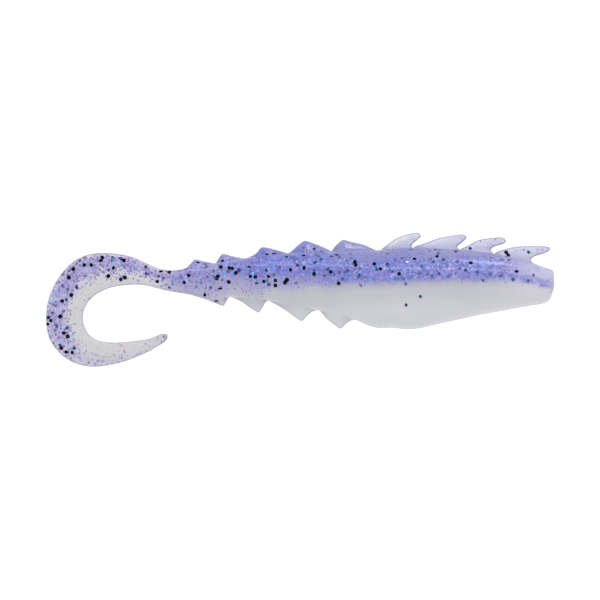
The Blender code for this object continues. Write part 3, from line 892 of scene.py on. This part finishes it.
def make_foils():
    """The materials of the kinds of flake, in their order."""
    return [
        glitter("black_foil", rgb(0.003, 0.002, 0.006), rgb(0.006, 0.007, 0.018), 0.30, 0.03),
        glitter("ink_foil", rgb(0.012, 0.030, 0.130), rgb(0.030, 0.080, 0.220), 0.28, 0.15),
        glitter("slate_foil", rgb(0.055, 0.070, 0.205), rgb(0.115, 0.135, 0.330), 0.30, 0.1),
        glitter("blue_foil", rgb(0.070, 0.220, 0.700), rgb(0.130, 0.470, 0.820), 0.22, 0.3),
        glitter("pink_foil", rgb(0.400, 0.270, 0.560), rgb(0.500, 0.380, 0.640), 0.25, 0.3),
        glitter("violet_foil", rgb(0.150, 0.070, 0.330), rgb(0.230, 0.130, 0.430), 0.25, 0.2),
        glitter("pale_glint_foil", rgb(0.780, 0.740, 0.720), rgb(0.850, 0.800, 0.760), 0.20, 0.5),
    ]


# ---------------------------------------------------------------- spines

# A spine's ribs, from under the back up to its tip: its rear and front edges and half thickness.
SPINES = (
    ((-35.0, 5.70, -27.9, 6.10, 1.35), (-34.3, 6.45, -28.1, 6.55, 0.92),
     (-33.0, 7.46, -28.35, 6.95, 0.74), (-31.4, 8.55, -28.1, 7.55, 0.62),
     (-29.6, 9.25, -27.5, 8.00, 0.54), (-28.3, 9.52, -27.0, 8.40, 0.48),
     (-27.3, 9.64, -26.60, 8.80, 0.38), (-26.8, 9.50, -26.50, 9.10, 0.24)),
    ((-28.9, 6.00, -18.7, 5.80, 1.35), (-28.0, 6.74, -18.95, 6.35, 0.92),
     (-25.7, 7.58, -19.2, 6.85, 0.74), (-22.8, 8.62, -18.9, 7.25, 0.62),
     (-20.6, 9.05, -18.4, 7.60, 0.54), (-19.0, 9.28, -17.9, 8.05, 0.48),
     (-18.1, 9.30, -17.5, 8.45, 0.38), (-17.6, 9.12, -17.36, 8.78, 0.24)),
    ((-19.4, 5.60, -11.6, 5.00, 1.30), (-18.6, 6.36, -12.1, 5.60, 0.92),
     (-17.1, 7.10, -12.55, 6.20, 0.74), (-15.2, 8.12, -12.1, 6.75, 0.62),
     (-13.4, 8.50, -11.3, 7.05, 0.54), (-11.9, 8.68, -10.4, 7.30, 0.48),
     (-10.7, 8.74, -9.75, 7.60, 0.38), (-9.85, 8.54, -9.45, 8.00, 0.24)),
    ((-12.6, 4.90, -3.90, 3.20, 1.25), (-11.7, 5.62, -4.25, 3.80, 0.90),
     (-9.6, 6.42, -4.50, 4.20, 0.74), (-7.4, 6.86, -4.10, 4.72, 0.62),
     (-4.9, 7.00, -2.90, 5.22, 0.54), (-3.0, 7.02, -1.80, 5.55, 0.48),
     (-1.6, 6.94, -1.00, 5.92, 0.38), (-0.85, 6.75, -0.62, 6.30, 0.24)),
)
SPINE_RIBS = 5  # ribs of the loft between two of the listed ones
SPINE_SIDE = 12  # faces across a spine's side
SPINE_POWER = 3.0  # the power of a spine's section


def spine_grid(listed):
    """A spine as rings, with the distance above its root and from its outline."""
    steps = [SPINE_RIBS] * (len(listed) - 1)
    rear = outline([r[0:2] for r in listed], [False] * len(listed), steps)
    front = outline([r[2:4] for r in listed], [False] * len(listed), steps)
    half = np.interp(np.arange(len(rear)), np.arange(len(listed)) * SPINE_RIBS,
                     [r[4] for r in listed])
    share = (1 - np.cos(np.pi * np.arange(SPINE_SIDE + 1) / SPINE_SIDE)) / 2
    flat = front[:, None, :] + share[None, :, None] * (rear - front)[:, None, :]
    off_centre = np.abs(2 * share - 1)[None, :]
    thick = half[:, None] * (1 - off_centre**SPINE_POWER) ** (1 / SPINE_POWER)
    edges = np.concatenate([rear, front[::-1]])
    edge = distance_to_outline(flat.reshape(-1, 2), edges).reshape(thick.shape)
    # The outline's closing side lies inside the body, so it doesn't count as an edge.
    width = np.linalg.norm(rear - front, axis=1)[:, None]
    edge = np.maximum(edge, 0.9 * width * np.minimum(share, 1 - share)[None, :] - 0.3)
    side = np.stack([flat[..., 0], -thick, flat[..., 1]], axis=2)
    rings = np.concatenate([side, side[:, -2:0:-1] * (1, -1, 1)], axis=1)
    root = (rear[SPINE_RIBS] + front[SPINE_RIBS]) / 2
    along = front[SPINE_RIBS] - rear[SPINE_RIBS]
    along /= np.linalg.norm(along)
    up = np.array((-along[1], along[0]))
    above = (flat - root) @ up
    facts = np.stack([above, edge, np.zeros_like(edge)], axis=2)
    facts = np.concatenate([facts, facts[:, -2:0:-1]], axis=1)
    return rings, facts, root, up


SPINE_FLAKES = {
    3: (("ink_foil", -16.7, 6.5), ("violet_foil", -11.6, 8.3), ("violet_foil", -14.6, 7.9)),
    4: (("black_foil", -9.5, 5.75), ("black_foil", -9.1, 5.2), ("ink_foil", -5.0, 5.75),
        ("blue_foil", -6.0, 6.2), ("violet_foil", -2.2, 6.3), ("violet_foil", -1.5, 6.1),
        ("violet_foil", -1.2, 6.6), ("pink_foil", -3.3, 6.2)),
}


def make_spine(number, listed, material, foils):
    rings, facts, root, up = spine_grid(listed)
    count = rings.shape[1]
    points = rings.reshape(-1, 3)
    faces = []
    for i in range(len(rings) - 1):
        for j in range(count):
            k = (j + 1) % count
            faces.append((i * count + j, i * count + k, (i + 1) * count + k, (i + 1) * count + j))
    faces.append(tuple(range(count))[::-1])
    faces.append(tuple(range((len(rings) - 1) * count, len(rings) * count)))
    attributes = {"rest": points, "layers": facts.reshape(-1, 3)}
    piece = mesh_object(f"spine_{number}_blade", points, faces, None, attributes, material)
    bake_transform(piece)
    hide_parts(f"spine_{number}")

    if number in SPINE_FLAKES:
        tree = BVHTree.FromPolygons([Vector(p) for p in points], faces)
        foil_mesh = FoilMesh()
        for kind_name, x, z in SPINE_FLAKES[number]:
            spot, normal, _, _ = tree.ray_cast(Vector((x, -THICKEST * 2, z)), Vector((0, 1, 0)))
            foil_mesh.add(kind_name, tree, spot, normal, 1.0)
        flakes = foil_mesh.make(f"spine_{number}_glitter", foils)
        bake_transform(flakes)


# ---------------------------------------------------------------- the object


def build_moulding(foils):
    rings, facts, joints = loft()
    # The third fact is 1 from the neck on and 2 at the tail's tip, for the colours there.
    along = np.arange(len(rings))
    facts[..., 2] = smoothstep(joints[1], joints[5], along)[:, None]
    facts[..., 2] += smoothstep(joints[11], joints[14], along)[:, None]
    rings, facts = with_ends(rings, facts)
    joints = [j + len(NOSE_RINGS) for j in joints]
    normals = grid_normals(rings)

    count = len(rings)
    faces = []
    for i in range(count - 1):
        for j in range(RING):
            k = (j + 1) % RING
            faces.append((i * RING + j, i * RING + k, (i + 1) * RING + k, (i + 1) * RING + j))
    tree = BVHTree.FromPolygons([Vector(p) for p in rings.reshape(-1, 3)], faces)

    # The rings where one piece ends and the next begins.
    middles = [(a + b) // 2 for a, b in zip(joints[:-1], joints[1:])]
    cuts = [0, 2 * joints[0] - middles[0], *middles, count - 1]
    pivots = [np.array(hinge["pos_m"]) / MM for hinge in link_joints()]
    layers = {
        "back": (BACK_COLUMNS, plastisol("violet_back_plastisol"), "back_plastisol"),
        "belly": (BELLY_COLUMNS, plastisol("pearl_belly_plastisol"), "belly_plastisol"),
    }
    foil_meshes = [FoilMesh() for _ in LINK_NAMES]
    for ring, kind_name, spot, normal, shape in flake_places(rings, facts, tree):
        link = max(n for n in range(len(LINK_NAMES)) if cuts[n] <= ring)
        foil_meshes[link].add(kind_name, tree, spot, normal, shape)
    for link, name in enumerate(LINK_NAMES):
        first, last = cuts[link], cuts[link + 1]
        zone = None
        if link:
            joint = joints[link - 1]
            reach = min(last, 2 * joint - first)
            zone = bend_zone(rings, pivots[link - 1], first, reach)
        for layer, (columns, material, slot) in layers.items():
            piece = closed_strip(f"{name}_{layer}_skin", rings, normals, facts, first, last,
                                 columns, material)
            place_on_body(piece, link, zone)
            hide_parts(f"{name}_{layer}")
        if foil_meshes[link].faces:
            place_on_body(foil_meshes[link].make(f"{name}_glitter", foils), link, zone)


def link_joints():
    """The frame's joints between links, from the nose to the tail's tip."""
    by_child = {joint["child"]: joint for joint in frame["joints"]}
    return [by_child[name] for name in LINK_NAMES[1:]]


# ---------------------------------------------------------------- floor, light and camera

SHOT_CENTRE = Vector((-50.7, 0.0, -3.8)) * MM
SHOT_WIDTH = 120 * MM
CAMERA_LENS = 250.0  # in Blender's millimetres
CAMERA_SENSOR = 36.0
FLOOR_DROP = 66 * MM


def area_light(name, place, width, height, radiance):
    """A soft box aimed at the object. Radiance is relative to the white surroundings."""
    data = bpy.data.lights.new(name, "AREA")
    data.shape = "RECTANGLE"
    data.size = width
    data.size_y = height
    data.energy = radiance * math.pi * width * height
    light = bpy.data.objects.new(name, data)
    light.location = place
    light.rotation_euler = (SHOT_CENTRE - Vector(place)).to_track_quat("-Z", "Y").to_euler()
    bpy.context.scene.collection.objects.link(light)


def stage():
    scene = bpy.context.scene
    scene.view_settings.view_transform = "Standard"
    bpy.ops.mesh.primitive_plane_add(size=1.6, location=(SHOT_CENTRE.x, 0.0, -FLOOR_DROP))
    floor = bpy.context.object
    floor.name = "floor"
    s = Shader("white_floor")
    tint = s.mix(s.noise(s.nodes.new("ShaderNodeTexCoord").outputs["Object"], 4.0),
                 rgb(0.93, 0.93, 0.93), rgb(0.96, 0.96, 0.96))
    s.put(s.surface.inputs["Base Color"], tint)
    s.set(Roughness=0.9)
    floor.data.materials.append(s.material)

    world = bpy.data.worlds.new("white_studio")
    world.use_nodes = True
    world.node_tree.nodes["Background"].inputs["Color"].default_value = rgb(1.0, 1.0, 1.0)
    world.node_tree.nodes["Background"].inputs["Strength"].default_value = 1.08
    scene.world = world
    area_light("front_box", (SHOT_CENTRE.x, -0.30, 0.32), 0.35, 0.20, 0.5)
    area_light("strip_box", (SHOT_CENTRE.x, -0.24, 0.22), 0.45, 0.012, 11.0)
    area_light("top_box", (0.055, -0.090, 0.330), 0.10, 0.06, 8.0)

    data = bpy.data.cameras.new("camera")
    data.lens = CAMERA_LENS
    data.sensor_width = CAMERA_SENSOR
    camera = bpy.data.objects.new("camera", data)
    distance = SHOT_WIDTH / CAMERA_SENSOR * CAMERA_LENS
    camera.location = SHOT_CENTRE + Vector((0.0, -distance, 0.0))
    camera.rotation_euler = (math.pi / 2, 0.0, 0.0)
    bpy.context.scene.collection.objects.link(camera)
    scene.camera = camera


def main():
    stage()
    foils = make_foils()
    build_moulding(foils)
    spine_material = spine_plastic()
    for number, listed in enumerate(SPINES, start=1):
        make_spine(number, listed, spine_material, foils)


main()
